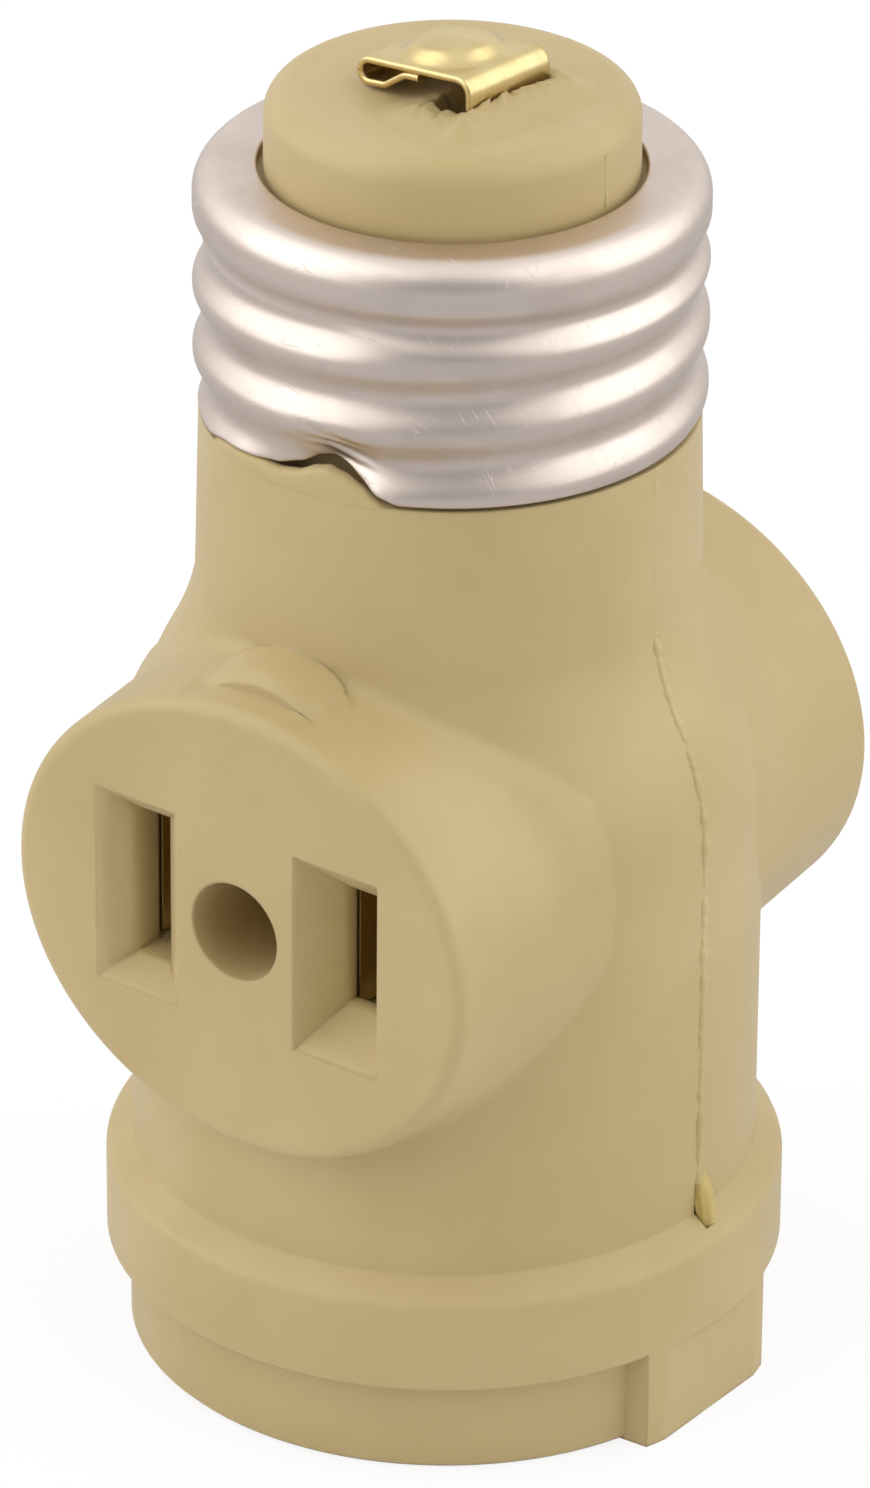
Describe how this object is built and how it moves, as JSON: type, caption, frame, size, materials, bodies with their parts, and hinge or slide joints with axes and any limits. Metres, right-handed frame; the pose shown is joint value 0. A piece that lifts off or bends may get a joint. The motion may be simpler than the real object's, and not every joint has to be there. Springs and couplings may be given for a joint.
{
  "type": "lamp socket adapter",
  "caption": "Screw-in lampholder adapter with a lamp socket at its foot and polarized outlets on opposite sides of its moulded body.",
  "frame": {"origin": "middle of the foot ring, in the plane of the lamp socket's open mouth", "axes": "+Z along the lamp axis towards the tip contact, -Y out of the front outlet, +X along the seam of the half shells that the picture shows"},
  "size_m": [0.0358, 0.036, 0.0737],
  "materials": {
    "housing": "beige moulded plastic, satin to matte",
    "shell": "rolled sheet, satin",
    "tip": "pale brass sheet, bright with faint scratches",
    "contact": "spring brass strip",
    "rivet": "plain brass",
    "floor": "dark pressed fibre disc"
  },
  "bodies": {
    "root": {"front_housing": "housing", "rear_housing": "housing", "plug_shell": "shell", "tip_contact": "tip", "hot_contact": "contact", "neutral_contact": "contact", "hot_stack_rivet": "rivet", "neutral_stack_rivet": "rivet", "hot_link": "contact", "neutral_link": "contact", "hot_riser": "contact", "neutral_riser": "contact", "tip_rivet": "rivet", "lamp_shell": "shell", "socket_floor": "floor", "lamp_tongue": "contact", "tongue_rivet": "rivet", "neutral_link_rivet": "rivet", "lamp_shell_rivets": "rivet", "housing_rivet": "rivet"}
  },
  "joints": []
}
